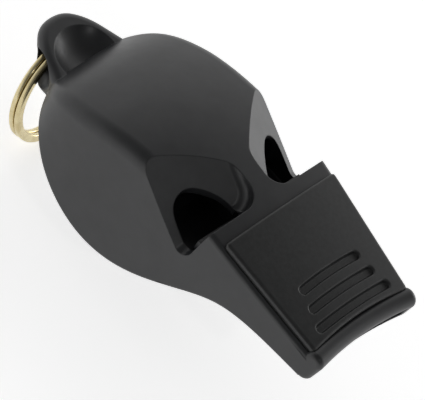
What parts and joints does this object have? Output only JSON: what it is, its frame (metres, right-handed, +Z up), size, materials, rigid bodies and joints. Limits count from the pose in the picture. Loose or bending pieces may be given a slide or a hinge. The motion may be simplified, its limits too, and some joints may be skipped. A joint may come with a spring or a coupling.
{
  "type": "training whistle",
  "caption": "Pealess training whistle with a humped hollow body, side windows, a soft-gripped mouthpiece and a split ring in its rear lug.",
  "frame": {"origin": "middle of the bounding box with the ring hanging as drawn", "axes": "+X from the lug to the mouth tip, +Y to the whistle's left, +Z up through the hump"},
  "size_m": [0.059, 0.0236, 0.0266],
  "materials": {
    "shell": "satin black moulded ABS",
    "plate": "satin black moulded ABS",
    "cover": "satin black moulded ABS",
    "grip": "soft black elastomer",
    "ring": "bright pale brass plating"
  },
  "bodies": {
    "whistle": {"body_shell": "shell", "windway_plate": "plate", "belly_cover": "cover", "top_grip_pad": "grip", "lower_grip_pad": "grip"},
    "ring": {"split_ring": "ring"}
  },
  "joints": [
    {"name": "ring_swing", "type": "hinge", "parent": "whistle", "child": "ring", "pos_m": [-0.0258, 0, 0.00074], "axis": [0, 1, 0], "range_deg": [-20, 200]}
  ]
}
